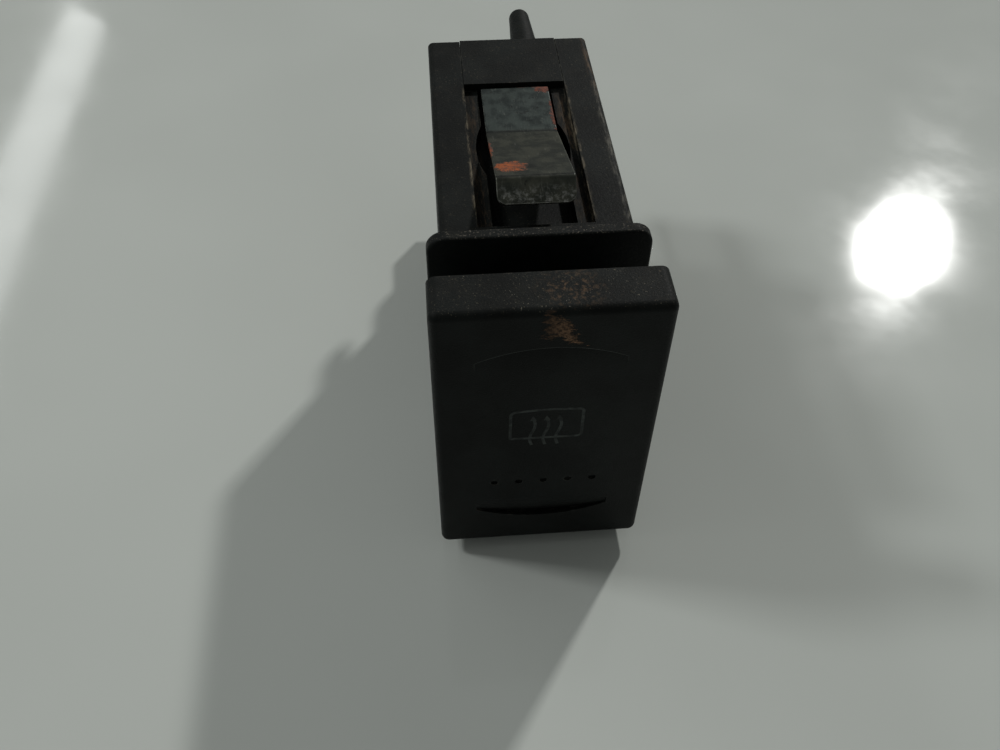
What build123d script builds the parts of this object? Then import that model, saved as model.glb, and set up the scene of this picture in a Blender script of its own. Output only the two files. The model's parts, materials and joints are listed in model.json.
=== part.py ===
import os
from math import cos, radians, sin

from build123d import *

# Dashboard rocker switch, millimetres.
# X runs across the switch, Z up the face, and Y from the front towards the connector.
# The origin is the centre of the panel seat: the plane of the flange's rear face.

# ---- driving dimensions -------------------------------------------------------------
CAP_WIDTH = 24.4
CAP_HEIGHT = 40.0
CAP_FRONT = -13.6
CAP_BACK = -8.0
CAP_WALL = 1.3
CAP_FACE = 1.6
CAP_CORNER = 1.0
CAP_EDGE = 0.9

SCOOP_HALF_WIDTH = 7.8
SCOOP_LIP = 14.85
SCOOP_LIP_SAG = 1.8
SCOOP_START = 11.0
SCOOP_DEPTH = 0.75
UPPER_SCOOP_DEPTH = 0.25
DIMPLE_COUNT = 5
DIMPLE_PITCH = 2.85
DIMPLE_RADIUS = 0.42
DIMPLE_DEPTH = 0.25
DIMPLE_Z = -7.6
SYMBOL_Z = 2.6
SYMBOL_WIDTH = 10.0
SYMBOL_HEIGHT = 8.4
FILM = 0.4
DIFFUSER_THICKNESS = 0.7
TOOL_MARGIN = 1.0

FLANGE_WIDTH = 24.1
FLANGE_HEIGHT = 37.8
FLANGE_THICKNESS = 1.3
FLANGE_CORNER = 2.0
FLANGE_EDGE = 0.3

BODY_WIDTH = 21.2
BODY_HEIGHT = 34.8
BODY_DEPTH = 40.8
BODY_EDGE = 0.7
SIDE_WALL = 1.6
CAVITY_HALF_HEIGHT = 13.5
COVER_SEAT = 37.8
COVER_RIM = 1.2
FIT_GAP = 0.1

CHANNEL_WIDTH = 12.8
CHANNEL_FRONT = 2.2
LEDGE_DEPTH = 1.0
SLOT_DEPTH = 2.8
SLOT_WIDTH = 9.4
WAIST_HALF_WIDTH = 5.6
WAIST_HALF_LENGTH = 9.0
WAIST_Y = 17.5
TONGUE_FRONT = 30.2
TONGUE_GAP = 0.06
TONGUE_THICKNESS = 1.5
TONGUE_ROOT = 0.8
HOOK_SLOT_GAP = 0.2

CLIP_WIDTH = 8.5
CLIP_THICKNESS = 0.5
CLIP_HEEL = (29.7, 16.9)
CLIP_FOLD = (19.5, 17.15)
CLIP_PEAK = (5.0, 21.75)
CLIP_LIP = (2.6, 19.9)
CLIP_LEG_END = 12.9
CLIP_BEND = 0.7
CLIP_CORNER = 1.0
CLIP_SPLIT = 0.06

PIVOT_Y = 3.5
TRUNNION_RADIUS = 1.5
TRUNNION_END = 9.9
RUNNING_GAP = 0.06
NECK_WIDTH = 16.6
NECK_HEIGHT = 24.8
NECK_WALL = 1.2
NECK_BACK = 6.5
NECK_WEB = 1.5
NECK_CORNER = 1.0
PLATE_WIDTH = 20.8
PLATE_HEIGHT = 36.8
PLATE_THICKNESS = 1.5
PLATE_GAP = 0.05
GUIDE_WIDTH = 5.0
GUIDE_HEIGHT = 6.6
GUIDE_BACK = 4.5

CONTACT_X = 4.5
PLUNGER_LEAN = 4.0
BARREL_RADIUS = 2.6
BARREL_START = 2.2
BARREL_END = 15.0
BORE_RADIUS = 1.6
BORE_START = 4.0
PLUNGER_RADIUS = 1.52
PLUNGER_START = 9.0
PLUNGER_SHOULDER = 17.5
PLUNGER_TIP = 21.9
NOSE_RADIUS = 1.1
SPRING_RADIUS = 1.15
SPRING_WIRE = 0.3
SPRING_TURNS = 7

LEVER_Y = 27.3
LEVER_LEAN = 5.0
LEVER_HALF_LENGTH = 9.5
LEVER_WIDTH = 4.0
LEVER_FRONT = -1.6
LEVER_BACK = -0.8
EYE_RADIUS = 1.0
PIN_RADIUS = 0.6
EAR_THICKNESS = 0.6
EAR_GAP = 0.2
EAR_FRONT = 1.3
BRACKET_HALF_HEIGHT = 1.6
PIN_HEAD = 0.3
LEVER_TIP_RADIUS = 1.0
CONTACT_Z = 8.5
CONTACT_RADIUS = 1.4
CONTACT_FACE = 0.4
FIXED_FACE = 28.75
FIXED_BACK = 30.0
FIXED_EXTRA = 0.1
LOAD_TAB_HEIGHT = 5.0

BLADE_WIDTH = 4.8
BLADE_THICKNESS = 0.8
BLADE_END = 54.4
BLADE_TAPER = 0.9
BLADE_TAPER_LENGTH = 1.5
LAMP_X = -4.0
LAMP_Z = 3.0
HOLDER_FRONT = 23.0
HOLDER_BACK = 31.0
LAMP_RADIUS = 2.4
LAMP_FRONT = 11.5
LAMP_SEAT = 27.0
GLASS_WALL = 0.4
GLASS_TOP = 1.4
GLASS_ROUND = 0.2
HOLDER_WIDTH = 7.2
HOLDER_HEIGHT = 13.0
HOLDER_CORNER = 0.8
SUPPORT_RADIUS = 0.18
WIRE_RADIUS = 0.15
WIRE_LIFT = 0.2

PEG_X = 2.9
PEG_Z = 13.4
PEG_RADIUS = 1.8
PEG_TIP_RADIUS = 1.4
PEG_STRAIGHT = 6.0
PEG_BOSS_RADIUS = 2.4
PEG_BOSS_BACK = 41.2
KEY_X = (-9.0, -6.5)
KEY_Z = (-15.0, -10.0)
COVER_FACE = 40.6
PLINTH_BACK = 42.4
PLINTH_WIDTH = 14.0
PLINTH_HEIGHT = 16.0
PLINTH_Z = 2.6
PLINTH_CORNER = 1.0
ROOT_OVERLAP = 0.5
PEG_ROUND = 1.0
KEY_CHAMFER = 0.6
STOP_WIDTH = 3.0
STOP_HEIGHT = 2.4
STOP_FRONT = 27.6

HALF_BODY = BODY_HEIGHT / 2
CAVITY_HALF_WIDTH = BODY_WIDTH / 2 - SIDE_WALL
SLOT_FLOOR = HALF_BODY - SLOT_DEPTH


def depth(y):
    """The plane across the switch at depth y: X across, Z up, facing the front."""
    return Plane.XZ.offset(-y)


def along_plunger(distance):
    """The plane square to the leaning plunger, at a distance behind the rocker pivot."""
    lean = radians(PLUNGER_LEAN)
    centre = (CONTACT_X, PIVOT_Y + distance * cos(lean), -distance * sin(lean))
    return Plane(origin=centre, x_dir=(1, 0, 0), z_dir=(0, -cos(lean), sin(lean)))


def blade(x_centre, z_centre, start):
    """A flat terminal blade along Y, tapered towards its free end."""
    half = BLADE_WIDTH / 2
    taper_start = BLADE_END - BLADE_TAPER_LENGTH
    with BuildPart() as strip:
        with BuildSketch(Plane.YZ.offset(x_centre - BLADE_THICKNESS / 2)):
            with BuildLine():
                Polyline(
                    (start, z_centre - half),
                    (taper_start, z_centre - half),
                    (BLADE_END, z_centre - half + BLADE_TAPER),
                    (BLADE_END, z_centre + half - BLADE_TAPER),
                    (taper_start, z_centre + half),
                    (start, z_centre + half),
                    close=True,
                )
            make_face()
        extrude(amount=BLADE_THICKNESS)
    return strip.part


def finger_scoop(lip_depth):
    """A shallow scoop in the lower half of the cap's face, deepest at its curved lower lip."""
    lip_end = -SCOOP_LIP + SCOOP_LIP_SAG
    with BuildPart() as scoop:
        with BuildSketch(Plane.YZ):
            with BuildLine():
                Line((CAP_FRONT - TOOL_MARGIN, -SCOOP_START), (CAP_FRONT, -SCOOP_START))
                TangentArc((CAP_FRONT, -SCOOP_START), (CAP_FRONT + lip_depth, -SCOOP_LIP), tangent=(0, -1))
                Polyline(
                    (CAP_FRONT + lip_depth, -SCOOP_LIP),
                    (CAP_FRONT - TOOL_MARGIN, -SCOOP_LIP),
                    (CAP_FRONT - TOOL_MARGIN, -SCOOP_START),
                )
            make_face()
        extrude(amount=SCOOP_HALF_WIDTH, both=True)
        with BuildSketch(depth(CAP_FRONT + lip_depth + TOOL_MARGIN)):
            with BuildLine():
                Polyline(
                    (-SCOOP_HALF_WIDTH, lip_end),
                    (-SCOOP_HALF_WIDTH, 0),
                    (SCOOP_HALF_WIDTH, 0),
                    (SCOOP_HALF_WIDTH, lip_end),
                )
                ThreePointArc((SCOOP_HALF_WIDTH, lip_end), (0, -SCOOP_LIP), (-SCOOP_HALF_WIDTH, lip_end))
            make_face()
        extrude(amount=lip_depth + 3 * TOOL_MARGIN, mode=Mode.INTERSECT)
    return scoop.part


def round_lip(clip):
    """Rounds the two corners at a spring clip's front lip."""
    lip_edges = clip.faces().sort_by(Axis.Y)[0].edges()
    fillet(lip_edges.filter_by(lambda edge: edge.length < 2 * CLIP_THICKNESS), radius=CLIP_CORNER)


os.makedirs("parts", exist_ok=True)

# ---- rocker cap: hollow button with two finger scoops and a row of dimples ------------
with BuildPart() as rocker_cap:
    with BuildSketch(depth(CAP_BACK)):
        RectangleRounded(CAP_WIDTH, CAP_HEIGHT, CAP_CORNER)
    extrude(amount=CAP_BACK - CAP_FRONT)
    fillet(rocker_cap.faces().sort_by(Axis.Y)[0].edges(), radius=CAP_EDGE)
    with BuildSketch(depth(CAP_BACK)):
        RectangleRounded(CAP_WIDTH - 2 * CAP_WALL, CAP_HEIGHT - 2 * CAP_WALL, CAP_CORNER / 2)
    extrude(amount=CAP_BACK - CAP_FRONT - CAP_FACE, mode=Mode.SUBTRACT)
    with BuildSketch(depth(CAP_FRONT + CAP_FACE)):
        with Locations((0, SYMBOL_Z)):
            Rectangle(SYMBOL_WIDTH, SYMBOL_HEIGHT)
    extrude(amount=CAP_FACE - FILM, mode=Mode.SUBTRACT)
    add(finger_scoop(SCOOP_DEPTH), mode=Mode.SUBTRACT)
    add(finger_scoop(UPPER_SCOOP_DEPTH).mirror(Plane.XY), mode=Mode.SUBTRACT)
    with BuildSketch(depth(CAP_FRONT + DIMPLE_DEPTH)):
        with Locations((0, DIMPLE_Z)):
            with GridLocations(DIMPLE_PITCH, DIMPLE_PITCH, DIMPLE_COUNT, 1):
                Circle(DIMPLE_RADIUS)
    extrude(amount=DIMPLE_DEPTH + TOOL_MARGIN, mode=Mode.SUBTRACT)

# ---- symbol diffuser: thin white plate in the pocket behind the symbol ----------------
DIFFUSER_BACK = CAP_FRONT + FILM + DIFFUSER_THICKNESS
with BuildPart() as symbol_diffuser:
    with BuildSketch(depth(DIFFUSER_BACK)):
        with Locations((0, SYMBOL_Z)):
            Rectangle(SYMBOL_WIDTH - 2 * FIT_GAP, SYMBOL_HEIGHT - 2 * FIT_GAP)
    extrude(amount=DIFFUSER_THICKNESS)

# ---- rocker carrier: plate inside the cap, hollow neck, trunnions, plunger barrel -----
PLATE_FRONT = CAP_FRONT + CAP_FACE + PLATE_GAP
PLATE_BACK = PLATE_FRONT + PLATE_THICKNESS
with BuildPart() as rocker_carrier:
    with BuildSketch(depth(PLATE_BACK)):
        Rectangle(PLATE_WIDTH, PLATE_HEIGHT)
    extrude(amount=PLATE_THICKNESS)
    with BuildSketch(depth(NECK_BACK)):
        RectangleRounded(NECK_WIDTH, NECK_HEIGHT, NECK_CORNER)
        RectangleRounded(
            NECK_WIDTH - 2 * NECK_WALL,
            NECK_HEIGHT - 2 * NECK_WALL,
            NECK_CORNER / 2,
            mode=Mode.SUBTRACT,
        )
    extrude(amount=NECK_BACK - PLATE_BACK)
    with BuildSketch(depth(NECK_BACK)):
        Rectangle(NECK_WIDTH - NECK_WALL, NECK_HEIGHT - NECK_WALL)
    extrude(amount=NECK_WEB)
    with BuildSketch(Plane.YZ.offset(-TRUNNION_END)):
        with Locations((PIVOT_Y, 0)):
            Circle(TRUNNION_RADIUS)
    extrude(amount=TRUNNION_END - NECK_WIDTH / 2 + NECK_WALL / 2)
    with BuildSketch(Plane.YZ.offset(TRUNNION_END)):
        with Locations((PIVOT_Y, 0)):
            Circle(TRUNNION_RADIUS)
    extrude(amount=-(TRUNNION_END - NECK_WIDTH / 2 + NECK_WALL / 2))
    with BuildSketch(along_plunger(BARREL_END)):
        Circle(BARREL_RADIUS)
    extrude(amount=BARREL_END - BARREL_START)
    with BuildSketch(along_plunger(BARREL_END)):
        Circle(BORE_RADIUS)
    extrude(amount=BARREL_END - BORE_START, mode=Mode.SUBTRACT)
    with BuildSketch(depth(NECK_BACK)):
        with Locations((LAMP_X, LAMP_Z)):
            Rectangle(GUIDE_WIDTH + 2 * FIT_GAP, GUIDE_HEIGHT + 4 * FIT_GAP)
    extrude(amount=NECK_WEB, mode=Mode.SUBTRACT)
    with BuildSketch(depth(PLATE_BACK)):
        with Locations((0, SYMBOL_Z)):
            Rectangle(SYMBOL_WIDTH, SYMBOL_HEIGHT)
    extrude(amount=PLATE_THICKNESS, mode=Mode.SUBTRACT)

# ---- light guide: clear block that widens from the lamp to the symbol -----------------
with BuildPart() as light_guide:
    with BuildSketch(depth(GUIDE_BACK)):
        with Locations((LAMP_X, LAMP_Z)):
            Rectangle(GUIDE_WIDTH, GUIDE_HEIGHT)
    with BuildSketch(depth(PLATE_BACK)):
        with Locations((0, SYMBOL_Z)):
            Rectangle(SYMBOL_WIDTH - 2 * FIT_GAP, SYMBOL_HEIGHT - 2 * FIT_GAP)
    loft()
    with BuildSketch(depth(PLATE_BACK)):
        with Locations((0, SYMBOL_Z)):
            Rectangle(SYMBOL_WIDTH - 2 * FIT_GAP, SYMBOL_HEIGHT - 2 * FIT_GAP)
    extrude(amount=PLATE_BACK - DIFFUSER_BACK)

# ---- plunger and its spring, in the leaning barrel --------------------------------------
with BuildPart() as plunger:
    with BuildSketch(along_plunger(PLUNGER_SHOULDER)):
        Circle(PLUNGER_RADIUS)
    extrude(amount=PLUNGER_SHOULDER - PLUNGER_START)
    with BuildSketch(along_plunger(PLUNGER_TIP)):
        Circle(NOSE_RADIUS)
    extrude(amount=PLUNGER_TIP - PLUNGER_SHOULDER)
    fillet(plunger.edges().sort_by(Axis.Y)[-1], radius=NOSE_RADIUS - FIT_GAP)

SPRING_LENGTH = PLUNGER_START - BORE_START - 2 * SPRING_WIRE
with BuildPart() as plunger_spring:
    spring_end = along_plunger(PLUNGER_START - SPRING_WIRE)
    with BuildLine():
        coil = Helix(
            pitch=SPRING_LENGTH / SPRING_TURNS,
            height=SPRING_LENGTH,
            radius=SPRING_RADIUS,
            center=spring_end.origin,
            direction=spring_end.z_dir,
        )
    with BuildSketch(Plane(origin=coil @ 0, z_dir=coil % 0)):
        Circle(SPRING_WIRE / 2)
    sweep(path=coil)

# ---- contact lever: rocking strip with an eye, its pin and the moving contact -----------
lever_plane = Plane(
    origin=(CONTACT_X, LEVER_Y, 0),
    x_dir=(0, cos(radians(LEVER_LEAN)), sin(radians(LEVER_LEAN))),
    z_dir=(1, 0, 0),
)
LEVER_MID = (LEVER_FRONT + LEVER_BACK) / 2
with BuildPart() as contact_lever:
    with BuildSketch(lever_plane):
        with Locations((LEVER_MID, 0)):
            Rectangle(LEVER_BACK - LEVER_FRONT, 2 * LEVER_HALF_LENGTH)
        with Locations((LEVER_BACK / 2, 0)):
            Rectangle(-LEVER_BACK, 2 * EYE_RADIUS)
        Circle(EYE_RADIUS)
        Circle(PIN_RADIUS, mode=Mode.SUBTRACT)
    extrude(amount=LEVER_WIDTH / 2, both=True)
    tips = contact_lever.faces().sort_by(Axis.Z)
    tip_corners = tips[0].edges() + tips[-1].edges()
    fillet(tip_corners.filter_by(lambda edge: edge.length < LEVER_WIDTH / 2), radius=LEVER_TIP_RADIUS)

EAR_INSIDE = LEVER_WIDTH / 2 + EAR_GAP
EAR_OUTSIDE = EAR_INSIDE + EAR_THICKNESS
with BuildPart() as contact_pivot_pin:
    with BuildSketch(lever_plane):
        Circle(PIN_RADIUS)
    extrude(amount=EAR_OUTSIDE + PIN_HEAD, both=True)

contact_plane = Plane(
    origin=lever_plane.from_local_coords((CONTACT_FACE, CONTACT_Z, 0)),
    x_dir=(1, 0, 0),
    z_dir=lever_plane.x_dir,
)
with BuildPart() as moving_contact:
    with BuildSketch(contact_plane):
        Circle(CONTACT_RADIUS)
    extrude(amount=-(CONTACT_FACE - LEVER_BACK))

# ---- contact bracket: two ears that carry the lever's pin -------------------------------
BRACKET_WEB = 31.2
BRACKET_BACK = 32.0
with BuildPart() as contact_bracket:
    with BuildSketch(Plane.XY):
        with BuildLine():
            Polyline(
                (CONTACT_X - EAR_OUTSIDE, LEVER_Y - EAR_FRONT),
                (CONTACT_X - EAR_OUTSIDE, BRACKET_BACK),
                (CONTACT_X + EAR_OUTSIDE, BRACKET_BACK),
                (CONTACT_X + EAR_OUTSIDE, LEVER_Y - EAR_FRONT),
                (CONTACT_X + EAR_INSIDE, LEVER_Y - EAR_FRONT),
                (CONTACT_X + EAR_INSIDE, BRACKET_WEB),
                (CONTACT_X - EAR_INSIDE, BRACKET_WEB),
                (CONTACT_X - EAR_INSIDE, LEVER_Y - EAR_FRONT),
                close=True,
            )
        make_face()
    extrude(amount=BRACKET_HALF_HEIGHT, both=True)
    with BuildSketch(Plane.YZ):
        with Locations((LEVER_Y, 0)):
            Circle(PIN_RADIUS + RUNNING_GAP)
    extrude(amount=2 * BODY_WIDTH, both=True, mode=Mode.SUBTRACT)

# ---- terminals: flat blades with their inner ends ---------------------------------------
with BuildPart() as terminal_supply:
    add(blade(CONTACT_X, 0, BRACKET_BACK))

LOAD_Z = 7.6
with BuildPart() as terminal_load:
    add(blade(CONTACT_X, LOAD_Z, FIXED_BACK))
    with BuildSketch(depth(FIXED_BACK + BLADE_THICKNESS)):
        with Locations((CONTACT_X, CONTACT_Z)):
            Rectangle(LEVER_WIDTH, LOAD_TAB_HEIGHT)
    extrude(amount=BLADE_THICKNESS)

with BuildPart() as fixed_contact:
    with BuildSketch(depth(FIXED_BACK)):
        with Locations((CONTACT_X, CONTACT_Z)):
            Circle(CONTACT_RADIUS + FIXED_EXTRA)
    extrude(amount=FIXED_BACK - FIXED_FACE)

GROUND_Z = -2.4
with BuildPart() as terminal_lighting:
    add(blade(LAMP_X, LOAD_Z, HOLDER_BACK))

with BuildPart() as terminal_ground:
    add(blade(LAMP_X, GROUND_Z, HOLDER_BACK))

# ---- lamp holder, glass envelope and filament -------------------------------------------
with BuildPart() as lamp_holder:
    with BuildSketch(depth(HOLDER_BACK)):
        with Locations((LAMP_X, LAMP_Z)):
            RectangleRounded(HOLDER_WIDTH, HOLDER_HEIGHT, HOLDER_CORNER)
    extrude(amount=HOLDER_BACK - HOLDER_FRONT)
    with BuildSketch(depth(LAMP_SEAT)):
        with Locations((LAMP_X, LAMP_Z)):
            Circle(LAMP_RADIUS + FIT_GAP)
    extrude(amount=LAMP_SEAT - HOLDER_FRONT, mode=Mode.SUBTRACT)

with BuildPart() as lamp_envelope:
    with BuildSketch(depth(LAMP_SEAT - FIT_GAP)):
        with Locations((LAMP_X, LAMP_Z)):
            Circle(LAMP_RADIUS)
    extrude(amount=LAMP_SEAT - FIT_GAP - LAMP_FRONT)
    fillet(lamp_envelope.edges().sort_by(Axis.Y)[0], radius=LAMP_RADIUS - GLASS_ROUND)
    with BuildSketch(depth(HOLDER_FRONT + TOOL_MARGIN)):
        with Locations((LAMP_X, LAMP_Z)):
            Circle(LAMP_RADIUS - GLASS_WALL)
    extrude(amount=HOLDER_FRONT + TOOL_MARGIN - LAMP_FRONT - GLASS_TOP, mode=Mode.SUBTRACT)

FILAMENT_Y = 16.0
FILAMENT_HALF = 1.1
with BuildPart() as lamp_filament:
    with BuildSketch(depth(HOLDER_FRONT + TOOL_MARGIN)):
        with Locations((LAMP_X - FILAMENT_HALF, LAMP_Z), (LAMP_X + FILAMENT_HALF, LAMP_Z)):
            Circle(SUPPORT_RADIUS)
    extrude(amount=HOLDER_FRONT + TOOL_MARGIN - FILAMENT_Y)
    with BuildSketch(Plane.YZ.offset(LAMP_X)):
        with Locations((FILAMENT_Y + WIRE_LIFT, LAMP_Z)):
            Circle(WIRE_RADIUS)
    extrude(amount=FILAMENT_HALF, both=True)

# ---- housing: flanged shell with a clip channel along its top and bottom ------------------
with BuildPart() as clip_channel:
    with BuildSketch(Plane.XY.offset(HALF_BODY - LEDGE_DEPTH)):
        with Locations((0, (CHANNEL_FRONT + BODY_DEPTH + TOOL_MARGIN) / 2)):
            Rectangle(CHANNEL_WIDTH, BODY_DEPTH + TOOL_MARGIN - CHANNEL_FRONT)
    extrude(amount=2 * LEDGE_DEPTH)
    with BuildSketch(Plane.XY.offset(SLOT_FLOOR)):
        with Locations((0, (CHANNEL_FRONT + TONGUE_FRONT) / 2)):
            Rectangle(SLOT_WIDTH, TONGUE_FRONT - CHANNEL_FRONT)
        with Locations((0, WAIST_Y)):
            Ellipse(WAIST_HALF_WIDTH, WAIST_HALF_LENGTH)
        with Locations((0, (TONGUE_FRONT + BODY_DEPTH) / 2)):
            Rectangle(CHANNEL_WIDTH, BODY_DEPTH - TONGUE_FRONT)
    extrude(amount=SLOT_DEPTH)
    with BuildSketch(Plane.XY.offset(CAVITY_HALF_HEIGHT - TOOL_MARGIN)):
        with Locations((0, CLIP_HEEL[0])):
            Rectangle(CLIP_WIDTH + 2 * HOOK_SLOT_GAP, CLIP_THICKNESS + 2 * HOOK_SLOT_GAP)
    extrude(amount=SLOT_DEPTH)

with BuildPart() as housing:
    with BuildSketch(depth(BODY_DEPTH)):
        Rectangle(BODY_WIDTH, BODY_HEIGHT)
    extrude(amount=BODY_DEPTH)
    fillet(housing.edges().filter_by(Axis.Y), radius=BODY_EDGE)
    fillet(housing.faces().sort_by(Axis.Y)[-1].edges(), radius=BODY_EDGE / 2)
    with BuildSketch(depth(0)):
        RectangleRounded(FLANGE_WIDTH, FLANGE_HEIGHT, FLANGE_CORNER)
    extrude(amount=FLANGE_THICKNESS)
    fillet(housing.faces().sort_by(Axis.Y)[0].edges(), radius=FLANGE_EDGE)
    with BuildSketch(depth(COVER_SEAT)):
        RectangleRounded(2 * CAVITY_HALF_WIDTH, 2 * CAVITY_HALF_HEIGHT, BODY_EDGE)
    extrude(amount=COVER_SEAT + FLANGE_THICKNESS, mode=Mode.SUBTRACT)
    with BuildSketch(depth(BODY_DEPTH)):
        Rectangle(BODY_WIDTH - 2 * COVER_RIM, BODY_HEIGHT - 2 * COVER_RIM)
    extrude(amount=BODY_DEPTH - COVER_SEAT, mode=Mode.SUBTRACT)
    add(clip_channel.part, mode=Mode.SUBTRACT)
    add(clip_channel.part.mirror(Plane.XY), mode=Mode.SUBTRACT)
    with BuildSketch(Plane.YZ):
        with Locations((PIVOT_Y, 0)):
            Circle(TRUNNION_RADIUS + RUNNING_GAP)
    extrude(amount=TRUNNION_END + 2 * FIT_GAP, both=True, mode=Mode.SUBTRACT)

# ---- rear cover: plate with latch tongues, plinth, locating peg and coding key -------------
COVER_WIDTH = BODY_WIDTH - 2 * COVER_RIM - 2 * FIT_GAP
COVER_HEIGHT = BODY_HEIGHT - 2 * COVER_RIM - 2 * FIT_GAP
TONGUE_WIDTH = CHANNEL_WIDTH - 2 * TONGUE_GAP
with BuildPart() as tongue:
    with BuildSketch(Plane.XY.offset(HALF_BODY - TONGUE_THICKNESS)):
        with Locations((0, (TONGUE_FRONT + BODY_DEPTH) / 2)):
            Rectangle(TONGUE_WIDTH, BODY_DEPTH - TONGUE_FRONT)
    extrude(amount=TONGUE_THICKNESS)
    with BuildSketch(Plane.XY.offset(COVER_HEIGHT / 2 - ROOT_OVERLAP)):
        with Locations((0, (COVER_SEAT + FIT_GAP + BODY_DEPTH) / 2)):
            Rectangle(TONGUE_WIDTH, BODY_DEPTH - COVER_SEAT - FIT_GAP)
    extrude(amount=TONGUE_ROOT)

with BuildPart() as rear_cover:
    with BuildSketch(depth(COVER_FACE)):
        Rectangle(COVER_WIDTH, COVER_HEIGHT)
    extrude(amount=COVER_FACE - COVER_SEAT - FIT_GAP)
    add(tongue.part)
    add(tongue.part.mirror(Plane.XY))
    with BuildSketch(depth(PLINTH_BACK)):
        with Locations(((CONTACT_X + LAMP_X) / 2, PLINTH_Z)):
            RectangleRounded(PLINTH_WIDTH, PLINTH_HEIGHT, PLINTH_CORNER)
    extrude(amount=PLINTH_BACK - COVER_FACE + ROOT_OVERLAP)
    with BuildSketch(depth(PEG_BOSS_BACK)):
        with Locations((PEG_X, PEG_Z)):
            Circle(PEG_BOSS_RADIUS)
    extrude(amount=PEG_BOSS_BACK - COVER_FACE + ROOT_OVERLAP)
    with BuildSketch(depth(PEG_STRAIGHT + BODY_DEPTH)):
        with Locations((PEG_X, PEG_Z)):
            Circle(PEG_RADIUS)
    extrude(amount=PEG_STRAIGHT + BODY_DEPTH - COVER_FACE + ROOT_OVERLAP)
    with BuildSketch(depth(BODY_DEPTH + PEG_STRAIGHT)):
        with Locations((PEG_X, PEG_Z)):
            Circle(PEG_RADIUS)
    with BuildSketch(depth(BLADE_END)):
        with Locations((PEG_X, PEG_Z)):
            Circle(PEG_TIP_RADIUS)
    loft()
    fillet(rear_cover.edges().filter_by(GeomType.CIRCLE).sort_by(Axis.Y)[-1], radius=PEG_ROUND)
    with BuildSketch(depth(BLADE_END)):
        with Locations((sum(KEY_X) / 2, sum(KEY_Z) / 2)):
            Rectangle(KEY_X[1] - KEY_X[0], KEY_Z[1] - KEY_Z[0])
    extrude(amount=BLADE_END - COVER_FACE + ROOT_OVERLAP)
    key_tip = rear_cover.faces().filter_by(Axis.Y).group_by(Axis.Y)[-1].sort_by(Axis.X)[0]
    chamfer(key_tip.edges(), length=KEY_CHAMFER)
    with BuildSketch(depth(COVER_SEAT + FIT_GAP)):
        with Locations((CONTACT_X, -CONTACT_Z)):
            Rectangle(STOP_WIDTH, STOP_HEIGHT)
    extrude(amount=COVER_SEAT + FIT_GAP - STOP_FRONT)
    with BuildSketch(depth(PLINTH_BACK)):
        with Locations((CONTACT_X, LOAD_Z), (CONTACT_X, 0), (LAMP_X, LOAD_Z), (LAMP_X, GROUND_Z)):
            Rectangle(BLADE_THICKNESS + FIT_GAP, BLADE_WIDTH + FIT_GAP)
    extrude(amount=PLINTH_BACK - COVER_SEAT, mode=Mode.SUBTRACT)

# ---- spring clips: each one a folded strip, with a leg that hooks into the channel floor -----
with BuildPart() as upper_clip_foot:
    with BuildSketch(Plane.YZ.offset(-CLIP_WIDTH / 2)):
        with BuildLine():
            FilletPolyline(
                (CLIP_FOLD[0] + CLIP_SPLIT, CLIP_FOLD[1]),
                CLIP_HEEL,
                (CLIP_HEEL[0], CLIP_LEG_END),
                radius=CLIP_BEND,
            )
        trace(line_width=CLIP_THICKNESS)
    extrude(amount=CLIP_WIDTH)

with BuildPart() as upper_clip_leaf:
    with BuildSketch(Plane.YZ.offset(-CLIP_WIDTH / 2)):
        with BuildLine():
            FilletPolyline(
                (CLIP_FOLD[0] - CLIP_SPLIT, CLIP_FOLD[1]),
                CLIP_PEAK,
                CLIP_LIP,
                radius=CLIP_BEND,
            )
        trace(line_width=CLIP_THICKNESS)
    extrude(amount=CLIP_WIDTH)
    round_lip(upper_clip_leaf)

with BuildPart() as lower_spring_clip:
    with BuildSketch(Plane.YZ.offset(-CLIP_WIDTH / 2)):
        with BuildLine():
            FilletPolyline(
                (CLIP_HEEL[0], -CLIP_LEG_END),
                (CLIP_HEEL[0], -CLIP_HEEL[1]),
                (CLIP_FOLD[0], -CLIP_FOLD[1]),
                (CLIP_PEAK[0], -CLIP_PEAK[1]),
                (CLIP_LIP[0], -CLIP_LIP[1]),
                radius=CLIP_BEND,
            )
        trace(line_width=CLIP_THICKNESS)
    extrude(amount=CLIP_WIDTH)
    round_lip(lower_spring_clip)

# ---- one file for each piece ------------------------------------------------------------------
pieces = {
    "rocker_cap": rocker_cap.part,
    "symbol_diffuser": symbol_diffuser.part,
    "rocker_carrier": rocker_carrier.part,
    "light_guide": light_guide.part,
    "plunger": plunger.part,
    "plunger_spring": plunger_spring.part,
    "contact_lever": contact_lever.part,
    "contact_pivot_pin": contact_pivot_pin.part,
    "moving_contact": moving_contact.part,
    "contact_bracket": contact_bracket.part,
    "fixed_contact": fixed_contact.part,
    "terminal_supply": terminal_supply.part,
    "terminal_load": terminal_load.part,
    "terminal_lighting": terminal_lighting.part,
    "terminal_ground": terminal_ground.part,
    "lamp_holder": lamp_holder.part,
    "lamp_envelope": lamp_envelope.part,
    "lamp_filament": lamp_filament.part,
    "housing": housing.part,
    "rear_cover": rear_cover.part,
    "upper_clip_foot": upper_clip_foot.part,
    "upper_clip_leaf": upper_clip_leaf.part,
    "lower_spring_clip": lower_spring_clip.part,
}
for name, piece in pieces.items():
    piece.label = name
    export_step(piece, f"parts/{name}.step")
    print(name, round(piece.volume, 2))
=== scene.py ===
import json
import math

import bmesh
import bpy
from mathutils import Matrix, Vector, noise


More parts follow.
